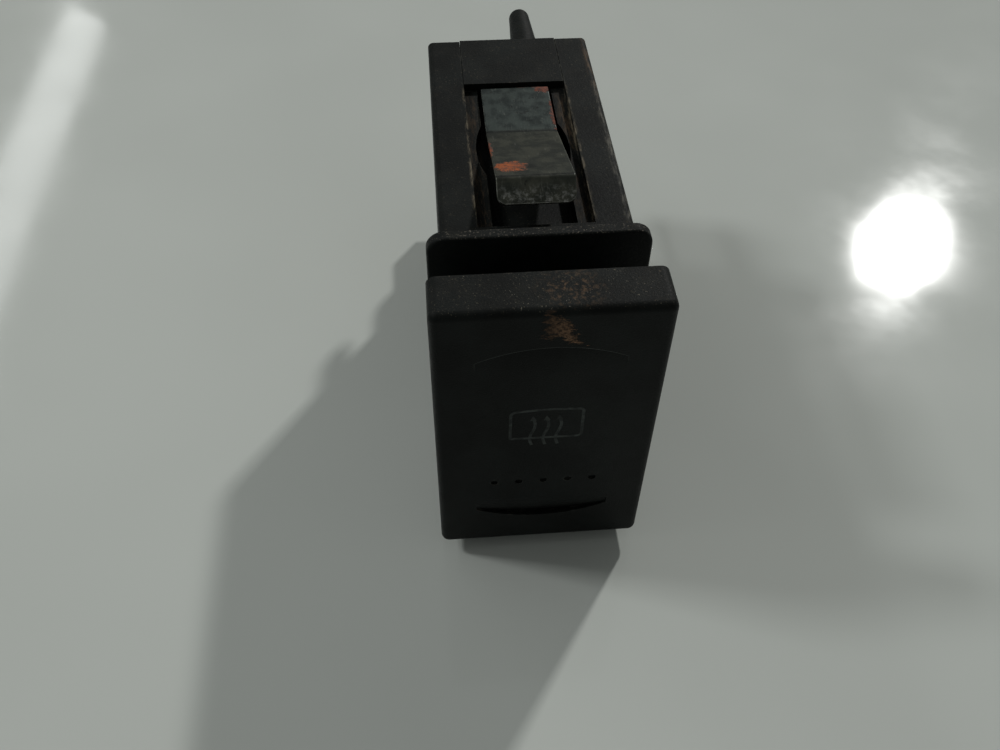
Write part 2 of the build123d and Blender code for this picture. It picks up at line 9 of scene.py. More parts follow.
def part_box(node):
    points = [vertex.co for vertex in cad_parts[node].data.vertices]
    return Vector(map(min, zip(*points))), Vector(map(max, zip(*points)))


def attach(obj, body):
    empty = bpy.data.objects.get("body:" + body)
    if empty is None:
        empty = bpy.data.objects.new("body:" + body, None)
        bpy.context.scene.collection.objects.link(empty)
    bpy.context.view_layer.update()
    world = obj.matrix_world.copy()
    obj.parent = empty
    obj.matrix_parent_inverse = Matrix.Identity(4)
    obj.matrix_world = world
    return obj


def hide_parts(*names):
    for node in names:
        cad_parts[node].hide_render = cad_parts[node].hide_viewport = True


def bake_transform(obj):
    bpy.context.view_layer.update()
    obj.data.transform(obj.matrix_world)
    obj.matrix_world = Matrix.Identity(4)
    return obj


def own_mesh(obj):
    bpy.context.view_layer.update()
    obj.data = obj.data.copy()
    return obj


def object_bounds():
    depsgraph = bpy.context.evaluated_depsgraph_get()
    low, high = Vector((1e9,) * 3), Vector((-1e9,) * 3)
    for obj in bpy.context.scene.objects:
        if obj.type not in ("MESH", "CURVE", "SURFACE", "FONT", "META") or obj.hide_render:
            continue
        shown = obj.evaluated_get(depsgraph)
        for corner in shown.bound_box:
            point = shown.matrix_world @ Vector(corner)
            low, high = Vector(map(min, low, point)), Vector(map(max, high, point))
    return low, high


# Dashboard rocker switch: looks, light and camera. Lengths are in metres unless a comment says mm.
MM = 0.001

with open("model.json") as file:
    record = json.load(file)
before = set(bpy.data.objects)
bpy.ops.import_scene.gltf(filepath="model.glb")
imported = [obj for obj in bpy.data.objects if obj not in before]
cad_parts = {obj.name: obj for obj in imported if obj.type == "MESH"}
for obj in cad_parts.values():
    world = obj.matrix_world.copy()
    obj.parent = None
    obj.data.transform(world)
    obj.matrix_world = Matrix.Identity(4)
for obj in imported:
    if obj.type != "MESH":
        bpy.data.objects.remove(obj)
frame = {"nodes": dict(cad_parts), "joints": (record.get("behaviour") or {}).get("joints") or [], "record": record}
cad_bounds = [list(corner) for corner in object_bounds()]
joints = {joint["name"]: joint for joint in frame["joints"]}


# ---- small helpers --------------------------------------------------------------------------
def span(node):
    """The lowest and highest corners of a CAD node, as vectors."""
    low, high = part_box(node)
    return Vector(low), Vector(high)


def mm(*values):
    """Millimetres as a tuple of metres."""
    return tuple(value * MM for value in values)


def rgb(red, green, blue):
    """A linear colour from the 0-255 values a screen shows."""
    def linear(value):
        value /= 255
        return value / 12.92 if value <= 0.04045 else ((value + 0.055) / 1.055) ** 2.4
    return (linear(red), linear(green), linear(blue), 1.0)


CAP_LOW, CAP_HIGH = span("rocker_cap")
FOOT_LOW, FOOT_HIGH = span("upper_clip_foot")
LEAF_LOW, LEAF_HIGH = span("upper_clip_leaf")
FACE_Y = CAP_LOW.y
FOLD = Vector(joints["upper_clip_flex"]["pos_m"])
LIP_REACH = 2.5 * MM
PEAK_Y = LEAF_LOW.y + LIP_REACH


class Nodes:
    """A material's node tree, with short calls for the nodes used here."""

    def __init__(self, name):
        self.material = bpy.data.materials.new(name)
        self.material.use_nodes = True
        self.tree = self.material.node_tree
        self.shader = self.tree.nodes["Principled BSDF"]
        self.position = self.add("ShaderNodeTexCoord").outputs["Object"]
        self.normal = self.add("ShaderNodeNewGeometry").outputs["Normal"]

    def add(self, kind, **settings):
        node = self.tree.nodes.new(kind)
        for key, value in settings.items():
            setattr(node, key, value)
        return node

    def put(self, value, socket):
        """Links an output to a socket, or sets the socket's own value."""
        if isinstance(value, bpy.types.NodeSocket):
            self.tree.links.new(value, socket)
        else:
            socket.default_value = value

    def math(self, operation, first, second=0.0):
        node = self.add("ShaderNodeMath", operation=operation)
        self.put(first, node.inputs[0])
        self.put(second, node.inputs[1])
        return node.outputs[0]

    def plus(self, first, second):
        return self.math("ADD", first, second)

    def times(self, product, *factors):
        """The product of any number of values."""
        for factor in factors:
            product = self.math("MULTIPLY", product, factor)
        return product

    def at_most_one(self, value):
        return self.math("MINIMUM", value, 1.0)

    def noise(self, size, detail=3.0, roughness=0.55, where=None):
        """A noise from 0 to 1 whose blobs are about size metres across."""
        node = self.add("ShaderNodeTexNoise")
        self.put(where or self.position, node.inputs["Vector"])
        node.inputs["Scale"].default_value = 1.0 / size
        node.inputs["Detail"].default_value = detail
        node.inputs["Roughness"].default_value = roughness
        return node.outputs["Fac"]

    def ramp(self, value, low, high, first=0.0, last=1.0):
        """Maps value smoothly from low..high to first..last."""
        node = self.add("ShaderNodeMapRange", interpolation_type="SMOOTHSTEP")
        self.put(value, node.inputs["Value"])
        for name, number in zip(("From Min", "From Max", "To Min", "To Max"), (low, high, first, last)):
            node.inputs[name].default_value = number
        return node.outputs["Result"]

    def axis(self, letter, vector=None):
        node = self.add("ShaderNodeSeparateXYZ")
        self.put(vector or self.position, node.inputs[0])
        return node.outputs["XYZ".index(letter)]

    def upward(self, low, high=0.95):
        """1 on what faces up, 0 where the normal's Z is under low."""
        return self.ramp(self.axis("Z", self.normal), low, high)

    def near(self, centre, radius):
        """1 at centre, falling to 0 at radius, in object space; radius may differ along each axis."""
        shift = self.add("ShaderNodeVectorMath", operation="SUBTRACT")
        self.put(self.position, shift.inputs[0])
        shift.inputs[1].default_value = centre
        scale = self.add("ShaderNodeVectorMath", operation="DIVIDE")
        self.put(shift.outputs[0], scale.inputs[0])
        scale.inputs[1].default_value = radius
        length = self.add("ShaderNodeVectorMath", operation="LENGTH")
        self.put(scale.outputs[0], length.inputs[0])
        return self.ramp(length.outputs["Value"], 1.0, 0.0)

    def band(self, value, centre, reach):
        """1 where value is centre, falling to 0 at reach to either side."""
        distance = self.math("ABSOLUTE", self.math("SUBTRACT", value, centre))
        return self.ramp(distance, reach, 0.0)

    def inside(self, corners):
        """How deep a point lies in a convex outline of (x, z) in mm, clockwise; metres."""
        x, z = self.axis("X"), self.axis("Z")
        depths = []
        for start, end in zip(corners, corners[1:] + corners[:1]):
            edge = Vector(end) - Vector(start)
            normal = Vector((edge.y, -edge.x)).normalized()
            reach = self.plus(self.times(x, normal.x), self.times(z, normal.y))
            depths.append(self.math("SUBTRACT", reach, normal.dot(Vector(start)) * MM))
        least = depths[0]
        for depth in depths[1:]:
            least = self.math("MINIMUM", least, depth)
        return least

    def stretched(self, scale, turn=0.0):
        """The position, scaled along each axis after a turn about Z."""
        mapping = self.add("ShaderNodeMapping")
        self.put(self.position, mapping.inputs["Vector"])
        mapping.inputs["Scale"].default_value = scale
        mapping.inputs["Rotation"].default_value = (0.0, 0.0, turn)
        return mapping.outputs[0]

    def mix(self, amount, first, second):
        node = self.add("ShaderNodeMix", data_type="RGBA")
        self.put(amount, node.inputs["Factor"])
        self.put(first, node.inputs[6])
        self.put(second, node.inputs[7])
        return node.outputs[2]

    def edges(self, radius, strength=1.0):
        """strength on convex and concave edges within about radius, 0 on flat faces."""
        bevel = self.add("ShaderNodeBevel", samples=6)
        bevel.inputs["Radius"].default_value = radius
        dot = self.add("ShaderNodeVectorMath", operation="DOT_PRODUCT")
        self.put(bevel.outputs[0], dot.inputs[0])
        self.put(self.normal, dot.inputs[1])
        return self.ramp(dot.outputs["Value"], 0.995, 0.86, 0.0, strength)

    def bump(self, height, depth, strength=1.0, under=None):
        node = self.add("ShaderNodeBump")
        node.inputs["Strength"].default_value = strength
        node.inputs["Distance"].default_value = depth
        self.put(height, node.inputs["Height"])
        if under is not None:
            self.put(under, node.inputs["Normal"])
        return node.outputs[0]

    def finish(self, color, roughness, normal, **plain):
        """Connects the shader; plain holds values for its other inputs, spaces as underscores."""
        self.put(color, self.shader.inputs["Base Color"])
        self.put(roughness, self.shader.inputs["Roughness"])
        self.put(normal, self.shader.inputs["Normal"])
        for name, value in plain.items():
            self.shader.inputs[name.replace("_", " ")].default_value = value
        return self.material


# ---- black plastic ----------------------------------------------------------------------------
BLACK = rgb(14, 16, 15)
SLATE = rgb(22, 25, 24)
DUST = rgb(116, 108, 92)
RUBBED = rgb(112, 110, 102)
SOFT_GLOSS = 0.11
EDGE_WEAR = 0.35
GRAIN_SPREAD = 0.08
DULL_TOP = 0.12


def black_plastic(name, grain, grain_depth, rough, dust):
    """Moulded black plastic: eroded grain, rubbed edges, pale specks of dust on what faces up."""
    n = Nodes(name)
    grains = n.noise(grain, roughness=0.65)
    patches = n.noise(6 * MM, detail=4.0)
    base = n.mix(n.ramp(patches, 0.35, 0.65), BLACK, SLATE)
    rubbed = n.times(n.edges(0.3 * MM, EDGE_WEAR), n.ramp(n.noise(1.4 * MM, detail=6.0), 0.47, 0.7))
    base = n.mix(rubbed, base, RUBBED)
    upward = n.upward(0.3)
    settled = n.times(upward, n.ramp(patches, 0.3, 0.7, 0.35, 1.0))
    specks = n.ramp(n.noise(0.24 * MM, detail=2.0, roughness=0.8), 0.63, 0.74)
    film = n.times(settled, dust, specks)
    base = n.mix(film, base, DUST)
    haze = n.times(settled, n.ramp(n.noise(2.2 * MM, detail=6.0), 0.42, 0.75, 0.0, 0.035))
    base = n.mix(haze, base, DUST)
    gloss = n.ramp(grains, 0.3, 0.7, rough - GRAIN_SPREAD, rough + GRAIN_SPREAD)
    gloss = n.plus(n.plus(gloss, n.times(film, 0.4)), n.times(upward, DULL_TOP))
    height = n.bump(grains, grain_depth)
    height = n.bump(n.noise(3 * MM), 0.05 * MM, 0.4, under=height)
    return n, base, gloss, height


# ---- the rocker's plastic ---------------------------------------------------------------------
# The pale specks on the cap's top: dust, and painted glints of light.
DUST_AND_GLINT = rgb(140, 134, 120)
# The upper scoop's lip line: rubbed edge and painted highlight.
LIP_WEAR_AND_HIGHLIGHT = rgb(84, 88, 86)
SOIL = rgb(112, 88, 66)
SMEAR_TONES = rgb(58, 46, 37), rgb(164, 128, 100)
SCOOP_LIP_Z = 14.0 * MM
SCOOP_LIP_REACH = 3.0 * MM
SCOOP_SIDES = mm(9.5, 8.0)
SOIL_PLACE = (2.0 * MM, FACE_Y + 3 * MM, CAP_HIGH.z)
SOIL_REACH = mm(4.4, 4.0, 1.5)
# The smear's outline (x, z) in mm, clockwise.
SMEAR = ((-0.9, 20.2), (-0.3, 20.2), (1.5, 18.5), (3.2, 15.2), (-1.2, 16.4))


def dust_and_glint_specks(n, base, upward):
    """Coarse pale specks on the cap's top: partly dust, partly painted glints of light."""
    speck_and_glint = n.ramp(n.noise(0.22 * MM, detail=2.0), 0.66, 0.74)
    speck_and_glint = n.times(speck_and_glint, n.ramp(n.noise(3.0 * MM, detail=2.0), 0.4, 0.65, 0.15, 0.9))
    return n.mix(n.times(upward, speck_and_glint), base, DUST_AND_GLINT)


def scoop_lip_wear_and_highlight(n, base):
    """A faint pale line along the upper scoop's lip: a rubbed edge and a painted highlight."""
    lip = n.times(n.edges(0.22 * MM), n.band(n.axis("Z"), SCOOP_LIP_Z, SCOOP_LIP_REACH))
    lip = n.times(lip, n.ramp(n.math("ABSOLUTE", n.axis("X")), *SCOOP_SIDES))
    return n.mix(n.times(lip, 0.6), base, LIP_WEAR_AND_HIGHLIGHT)


def soiled(n, base, upward):
    """Brown crumbs on the cap's top, above the smear."""
    crumbs = n.ramp(n.noise(0.55 * MM, detail=6.0, roughness=0.7), 0.5, 0.64)
    soil = n.times(n.near(SOIL_PLACE, SOIL_REACH), crumbs, upward)
    return n.mix(n.times(soil, 0.7), base, SOIL)


def cap_plastic():
    """The rocker's plastic: coarse specks of dust and painted glints on top, a brown fibrous smear below its top
    edge.
    """
    n, base, gloss, height = black_plastic("cap_plastic", 0.17 * MM, 0.045 * MM, 0.44, 0.8)
    upward = n.upward(0.5)
    base = dust_and_glint_specks(n, base, upward)
    base = scoop_lip_wear_and_highlight(n, base)
    base = soiled(n, base, upward)
    forward = n.ramp(n.axis("Y", n.normal), -0.5, -0.95)
    fibres = n.noise(0.9 * MM, detail=7.0, roughness=0.72, where=n.stretched((0.8, 1.0, 2.0)))
    ragged = n.plus(n.inside(SMEAR), n.ramp(fibres, 0.2, 0.8, *mm(-1.3, 0.9)))
    smear = n.times(n.ramp(ragged, *mm(-0.1, 0.35), 0.0, 0.85), forward)
    lit = n.ramp(n.axis("X"), *mm(-1.0, 3.0), 0.15, 0.75)
    streaks = n.ramp(n.noise(0.4 * MM, detail=6.0, roughness=0.7), 0.4, 0.62, 0.1, 1.5)
    tone = n.at_most_one(n.times(lit, streaks))
    base = n.mix(smear, base, n.mix(tone, *SMEAR_TONES))
    height = n.bump(n.times(smear, fibres), 0.12 * MM, 0.7, under=height)
    gloss = n.plus(gloss, n.times(smear, 0.3))
    return n.finish(base, gloss, height, Specular_IOR_Level=SOFT_GLOSS)


# ---- the housing's plastic --------------------------------------------------------------------
BROWN_DUST = rgb(92, 74, 56)
RIM_DUST = rgb(128, 118, 100)
FLANGE_DUST = rgb(136, 128, 116)
# The right-hand edge's pale tones: wear and painted highlight.
PALE_WEAR_AND_HIGHLIGHT, BROWN_WEAR_AND_HIGHLIGHT = rgb(150, 146, 134), rgb(128, 100, 72)
BEHIND_FLANGE = mm(2.0, 3.0)
AHEAD_OF_TONGUE = mm(30.0, 27.0)
LEDGE_X, LEDGE_REACH = mm(5.6, 1.3)
RIM_X, RIM_REACH = mm(6.45, 0.35)
SHOULDER_X, SHOULDER_REACH = mm(10.2, 0.7)
FLANGE_EDGE_Y = mm(0.4, -0.3)
WEAR_AND_HIGHLIGHT_SIDE_X = mm(9.0, 10.0)
WEAR_AND_HIGHLIGHT_EDGE_Z = mm(14.0, 16.0)
TOP_Z = mm(16.4, 17.0)
PALE_TO_BROWN_Y = mm(20.0, 36.0)


def body_plastic(name):
    """The housing's plastic: dusty clip channel, a right-hand edge that is worn and carries a painted highlight,
    specks on the flange.
    """
    n, base, gloss, height = black_plastic(name, 0.28 * MM, 0.04 * MM, 0.47, 0.7)
    x_side, along, z_up = n.axis("X"), n.axis("Y"), n.axis("Z")
    across = n.math("ABSOLUTE", x_side)
    upward = n.upward(0.4, 0.9)
    fibres = n.noise(1.3 * MM, detail=7.0, roughness=0.7, where=n.stretched((3.0, 0.5, 1.0)))
    streaks = n.ramp(fibres, 0.44, 0.66)
    behind = n.ramp(along, *BEHIND_FLANGE)
    stretch = n.times(behind, n.ramp(along, *AHEAD_OF_TONGUE))
    ledge = n.times(n.band(across, LEDGE_X, LEDGE_REACH), upward, stretch, streaks)
    base = n.mix(n.times(ledge, 0.5), base, BROWN_DUST)
    rim = n.times(n.band(across, RIM_X, RIM_REACH), stretch, streaks)
    base = n.mix(n.times(rim, 0.8), base, RIM_DUST)
    specks = n.ramp(n.noise(0.3 * MM, roughness=0.7), 0.57, 0.68)
    flange = n.times(n.ramp(along, *FLANGE_EDGE_Y), upward, specks)
    base = n.mix(n.times(flange, 0.65), base, FLANGE_DUST)
    # Painted highlight over real wear: the right-hand top edge and shoulder paled, as if lit from the right.
    wear_and_highlight = n.times(n.edges(0.45 * MM), n.ramp(x_side, *WEAR_AND_HIGHLIGHT_SIDE_X), behind, n.ramp(z_up, *WEAR_AND_HIGHLIGHT_EDGE_Z))
    wear_and_highlight = n.times(wear_and_highlight, n.ramp(n.noise(0.7 * MM, detail=5.0), 0.36, 0.6, 0.0, 0.9))
    shoulder = n.times(n.band(x_side, SHOULDER_X, SHOULDER_REACH), n.ramp(z_up, *TOP_Z), behind, streaks)
    wear_and_highlight = n.math("MAXIMUM", wear_and_highlight, n.times(shoulder, 0.5))
    base = n.mix(wear_and_highlight, base, n.mix(n.ramp(along, *PALE_TO_BROWN_Y), PALE_WEAR_AND_HIGHLIGHT, BROWN_WEAR_AND_HIGHLIGHT))
    return n.finish(base, gloss, height, Specular_IOR_Level=SOFT_GLOSS)


# ---- spring steel -----------------------------------------------------------------------------
FRONT_STEEL = rgb(50, 53, 47), rgb(68, 69, 60)
REAR_STEEL = rgb(46, 53, 52), rgb(58, 66, 63)
FRONT_TO_REAR_Y = mm(18.8, 20.2)
SCRATCH = rgb(150, 150, 142)
SCUFF = rgb(158, 158, 154)
PIT = rgb(24, 26, 24)
BARE_EDGE = rgb(148, 148, 140)
# Painted shade: dark lines along the clip strip's bends.
CREASE_SHADE = rgb(16, 18, 17)
# Painted shade: a dark patch in a hollow beside the front rust patch.
HOLLOW_SHADE = rgb(22, 24, 22)
HOLLOW_SHADE_PLACE, HOLLOW_SHADE_REACH = mm(-0.3, 7.6, 20.9), mm(1.0, 1.3, 2.0)
LIP_Y = mm(4.6, 2.6)
SHADED_BENDS = ((PEAK_Y + 0.12 * MM, 0.3 * MM), (FOLD.y, 0.5 * MM))
ORANGE_RUST = rgb(160, 78, 24), rgb(104, 56, 32)
RED_RUST = rgb(122, 62, 42), rgb(74, 44, 34)
RED_TO_ORANGE_Y = mm(16.0, 10.0)
# Each patch of rust: its centre and its reach along X, Y and Z, in mm.
RUST_PATCHES = (
    ((-2.4, 7.8, 20.9), (2.8, 2.4, 3.0)),
    ((3.6, 29.2, 17.2), (2.1, 1.7, 2.0)),
    ((4.4, 23.0, 17.3), (0.9, 6.0, 2.0)),
    ((-4.4, 14.0, 18.8), (0.7, 5.0, 2.5)),
    ((0.6, 29.9, 17.0), (3.4, 0.6, 1.2)),
    ((2.6, 12.0, -19.6), (2.6, 3.5, 3.0)),
)


def rust(n, along):
    """Where the strip has rusted, and the rust's colour."""
    cover = 0.0
    for centre, reach in RUST_PATCHES:
        cover = n.math("MAXIMUM", cover, n.near(mm(*centre), mm(*reach)))
    ragged = n.ramp(n.noise(0.8 * MM, detail=7.0, roughness=0.72), 0.25, 0.75, -0.62, 0.5)
    amount = n.times(n.ramp(n.plus(cover, ragged), 0.18, 0.5), n.ramp(cover, 0.05, 0.3))
    tone = n.ramp(n.noise(0.5 * MM, detail=5.0), 0.35, 0.65)
    orange = n.ramp(along, *RED_TO_ORANGE_Y)
    return amount, n.mix(orange, n.mix(tone, *RED_RUST), n.mix(tone, *ORANGE_RUST))


def spring_steel():
    """Blued strip steel: mottled grey, scratched and dented, rust in patches and along edges."""
    n = Nodes("spring_steel_worn")
    along = n.axis("Y")
    patches = n.ramp(n.noise(1.7 * MM, detail=5.0), 0.35, 0.65)
    rear = n.ramp(along, *FRONT_TO_REAR_Y)
    base = n.mix(rear, n.mix(patches, *FRONT_STEEL), n.mix(patches, *REAR_STEEL))
    lines = n.noise(1.6 * MM, detail=6.0, roughness=0.7, where=n.stretched((5.0, 0.7, 0.7), 0.5))
    base = n.mix(n.ramp(lines, 0.58, 0.72, 0.0, 0.45), base, SCRATCH)
    scuffs = n.ramp(n.noise(0.6 * MM, detail=6.0, roughness=0.75), 0.46, 0.64)
    base = n.mix(n.times(n.ramp(along, *LIP_Y), scuffs, 0.7), base, SCUFF)
    base = n.mix(n.ramp(n.noise(0.8 * MM, detail=2.0), 0.66, 0.74, 0.0, 0.7), base, PIT)
    rubbed = n.times(n.edges(0.2 * MM, 0.8), n.ramp(n.noise(0.9 * MM, detail=5.0), 0.35, 0.6))
    base = n.mix(rubbed, base, BARE_EDGE)
    # Painted shade: a dark line along each bend of the strip.
    for fold_y, width in SHADED_BENDS:
        crease_shade = n.times(n.band(along, fold_y, width), n.ramp(scuffs, 0.0, 1.0, 0.9, 0.45))
        base = n.mix(crease_shade, base, CREASE_SHADE)
    rusted, rust_tone = rust(n, along)
    base = n.mix(rusted, base, rust_tone)
    # Painted shade in the hollow beside the front rust patch.
    base = n.mix(n.times(n.near(HOLLOW_SHADE_PLACE, HOLLOW_SHADE_REACH), 0.8), base, HOLLOW_SHADE)
    gloss = n.plus(n.ramp(patches, 0.0, 1.0, 0.40, 0.54), n.times(rusted, 0.35))
    n.put(n.ramp(rusted, 0.0, 0.6, 0.72, 0.0), n.shader.inputs["Metallic"])
    height = n.bump(lines, 0.03 * MM, 0.5)
    height = n.bump(n.noise(1.5 * MM), 0.05 * MM, 0.6, under=height)
    height = n.bump(n.times(rusted, n.noise(0.25 * MM)), 0.12 * MM, 0.8, under=height)
    return n.finish(base, gloss, height)


# ---- other materials --------------------------------------------------------------------------
TARNISH_ROUGHNESS = 0.2
IVORY = rgb(226, 222, 208), rgb(204, 198, 180)
CLEAR_WHITE = rgb(248, 250, 248)
HAZE_ROUGHNESS = 0.08
ACRYLIC_IOR = 1.49
SYMBOL_TONES = rgb(44, 47, 46), rgb(72, 76, 74)
TABLE_TONES = rgb(197, 201, 196), rgb(204, 208, 203)


def metal(name, light, dark, rough):
    """Stamped metal with tarnish and fine drawing lines."""
    n = Nodes(name)
    patches = n.ramp(n.noise(2.4 * MM, detail=6.0, roughness=0.65), 0.42, 0.8)
    base = n.mix(patches, rgb(*light), rgb(*dark))
    lines = n.noise(0.3 * MM, detail=4.0, where=n.stretched((1.0, 0.08, 1.0)))
    gloss = n.ramp(patches, 0.0, 1.0, rough, rough + TARNISH_ROUGHNESS)
    return n.finish(base, gloss, n.bump(lines, 0.02 * MM, 0.6), Metallic=1.0)


def pale_plastic():
    """Ivory plastic of the hidden fittings."""
    n = Nodes("white_plastic_moulded")
    base = n.mix(n.ramp(n.noise(4 * MM), 0.3, 0.7), *IVORY)
    gloss = n.ramp(n.noise(1 * MM), 0.3, 0.7, 0.38, 0.5)
    return n.finish(base, gloss, n.bump(n.noise(0.4 * MM), 0.01 * MM))


def clear(name, rough, tint):
    """Clear plastic or glass with a slight tint and haze."""
    n = Nodes(name)
    base = n.mix(n.ramp(n.noise(6 * MM), 0.4, 0.6), rgb(*tint), CLEAR_WHITE)
    haze = n.ramp(n.noise(2 * MM, detail=4.0), 0.4, 0.7, rough, rough + HAZE_ROUGHNESS)
    waves = n.bump(n.noise(5 * MM), 0.02 * MM, 0.3)
    return n.finish(base, haze, waves, IOR=ACRYLIC_IOR, Transmission_Weight=0.95)


def symbol_print():
    """The etched symbol: grey, rubbed thin in places."""
    n = Nodes("symbol_print")
    rubbed = n.ramp(n.noise(0.9 * MM, detail=5.0), 0.36, 0.62)
    gloss = n.ramp(rubbed, 0.0, 1.0, 0.5, 0.65)
    grain = n.bump(n.noise(0.16 * MM), 0.02 * MM)
    return n.finish(n.mix(rubbed, *SYMBOL_TONES), gloss, grain, Specular_IOR_Level=SOFT_GLOSS)


def table_top():
    """Glossy off-white laminate under the switch."""
    n = Nodes("table_top")
    base = n.mix(n.ramp(n.noise(0.09), 0.3, 0.7), *TABLE_TONES)
    gloss = n.ramp(n.noise(0.02, detail=4.0), 0.3, 0.7, 0.06, 0.10)
    return n.finish(base, gloss, n.bump(n.noise(0.015, detail=2.0), 0.02 * MM, 0.4))


FINISH = {
    "black_textured_plastic": cap_plastic(),
    "black_plastic": body_plastic("body_plastic"),
    "black_plastic_rear": body_plastic("rear_plastic"),
    "white_plastic": pale_plastic(),
    "clear_acrylic": clear("clear_acrylic_guide", 0.06, (236, 242, 240)),
    "spring_steel": spring_steel(),
    "brass": metal("brass_stamped", (196, 158, 92), (138, 102, 58), 0.32),
    "steel_pin": metal("steel_drawn", (176, 176, 172), (128, 128, 124), 0.3),
    "silver_contact": metal("silver_contact_satin", (214, 210, 200), (160, 154, 140), 0.28),
    "lamp_glass": clear("lamp_glass_clear", 0.02, (240, 242, 238)),
}


def dress_cad_nodes():
    """Gives each CAD node the material of its slot."""
    for part in frame["record"]["subparts"]:
        slots = frame["nodes"][part["node"]].data.materials
        slots.clear()
        slots.append(FINISH[part["material_slot"]])


# ---- pieces ---------------------------------------------------------------------------------
SHARP = math.radians(50)


def new_piece(name, mesh_maker, material, body, smooth=True):
    """An object whose mesh mesh_maker(bm) builds; it rides on body unless body is None."""
    mesh = bpy.data.meshes.new(name)
    bm = bmesh.new()
    mesh_maker(bm)
    bmesh.ops.recalc_face_normals(bm, faces=bm.faces)
    bm.to_mesh(mesh)
    bm.free()
    for polygon in mesh.polygons:
        polygon.use_smooth = smooth
    mesh.set_sharp_from_angle(angle=SHARP)
    piece = bpy.data.objects.new(name, mesh)
    bpy.context.scene.collection.objects.link(piece)
    mesh.materials.append(material)
    if body:
        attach(piece, body)
    return piece


def loop_strip(bm, sections, closed=False):
    """Skins a row of point rings; an open row is closed by a face at each end."""
    rings = [[bm.verts.new(point) for point in section] for section in sections]
    pairs = list(zip(rings, rings[1:])) + ([(rings[-1], rings[0])] if closed else [])
    count = len(rings[0])
    for first, second in pairs:
        for k in range(count):
            bm.faces.new((first[k], first[(k + 1) % count], second[(k + 1) % count], second[k]))
    if not closed:
        bm.faces.new(rings[0])
        bm.faces.new(reversed(rings[-1]))


def rounded(points, radii, steps=6):
    """A 2D polyline with its inner corners turned into arcs."""
    path = [Vector(points[0])]
    for before, corner, after, radius in zip(points, points[1:], points[2:], radii):
        corner = Vector(corner)
        inward = (Vector(before) - corner).normalized()
        onward = (Vector(after) - corner).normalized()
        half = inward.angle(onward) / 2
        reach = radius / math.tan(half)
        centre = corner + (inward + onward).normalized() * radius / math.sin(half)
        start = corner + inward * reach - centre
        turn = start.angle_signed(corner + onward * reach - centre)
        for k in range(steps + 1):
            path.append(centre + Matrix.Rotation(-turn * k / steps, 2) @ start)
    path.append(Vector(points[-1]))
    return path


# ---- the symbol: a heated rear window, printed on the face -----------------------------------
PRINT_FRONT = FACE_Y - 0.008 * MM
PRINT_BACK = FACE_Y + 0.05 * MM
PRINT_STEP = 0.003 * MM
LINE = 0.34 * MM
SYMBOL_LEFT, SYMBOL_RIGHT = mm(-4.0, 3.85)
SYMBOL_LOW, SYMBOL_HIGH = mm(0.5, 5.2)
TOP_BOW, LEFT_DROP, RIGHT_DROP = mm(0.12, 0.15, 0.05)
FRAME_CORNERS = mm(0.15, 0.7, 20, 0.4, 0.5)
WAVES_X = mm(-1.58, -0.1, 1.28)
WAVE_TOP, WAVE_BOTTOM = mm(3.9, -0.75)
WAVE_SWING = 0.27 * MM
WAVE_STEPS = 24
HEAD = 0.75 * MM
HEAD_POINT, HEAD_TIP_WIDTH, HEAD_LEAN = mm(0.35, 0.06, 0.05)


def print_line(bm, points, closed=False, widths=None, layer=0):
    """A closed solid line of print along points (x, z) on the face; layers lie over each other."""
    count = len(points)
    front = PRINT_FRONT - layer * PRINT_STEP
    back = PRINT_BACK - layer * PRINT_STEP
    sections = []
    for index, point in enumerate(points):
        before = points[(index - 1) % count] if closed else points[max(index - 1, 0)]
        after = points[(index + 1) % count] if closed else points[min(index + 1, count - 1)]
        along = (after - before).normalized()
        side = Vector((-along.y, along.x)) * (widths[index] if widths else LINE) / 2
        low, high = point - side, point + side
        sections.append([
            (low.x, back, low.y), (low.x, front, low.y),
            (high.x, front, high.y), (high.x, back, high.y),
        ])
    loop_strip(bm, sections, closed)


def symbol_frame(bm):
    """The window's outline, with a slightly bowed top."""
    corners = [
        (SYMBOL_LEFT + 1.0 * MM, SYMBOL_LOW),
        (SYMBOL_LEFT, SYMBOL_LOW),
        (SYMBOL_LEFT, SYMBOL_HIGH - LEFT_DROP),
        ((SYMBOL_LEFT + SYMBOL_RIGHT) / 2, SYMBOL_HIGH + TOP_BOW),
        (SYMBOL_RIGHT, SYMBOL_HIGH - RIGHT_DROP),
        (SYMBOL_RIGHT, SYMBOL_LOW),
        (0.0, SYMBOL_LOW),
    ]
    print_line(bm, rounded(corners, FRAME_CORNERS), closed=True)


def symbol_wave(x_centre):
    """One wavy arrow: a sine line with a pointed head."""
    def make(bm):
        line = []
        for k in range(WAVE_STEPS + 1):
            share = k / WAVE_STEPS
            x = x_centre + WAVE_SWING * math.sin(2 * math.pi * share)
            line.append(Vector((x, WAVE_TOP + (WAVE_BOTTOM - WAVE_TOP) * share)))
        print_line(bm, line, layer=1)
        tip = Vector((x_centre, WAVE_TOP + HEAD_POINT))
        base = Vector((x_centre + HEAD_LEAN, WAVE_TOP - HEAD / 2))
        print_line(bm, [tip, base], widths=(HEAD_TIP_WIDTH, HEAD), layer=2)
    return make


def add_symbol():
    ink = symbol_print()
    new_piece("symbol_frame", symbol_frame, ink, "rocker", smooth=False)
    for number, x_centre in enumerate(WAVES_X):
        wave = symbol_wave(x_centre)
        new_piece(f"symbol_wave_{number}", wave, ink, "rocker", smooth=False)


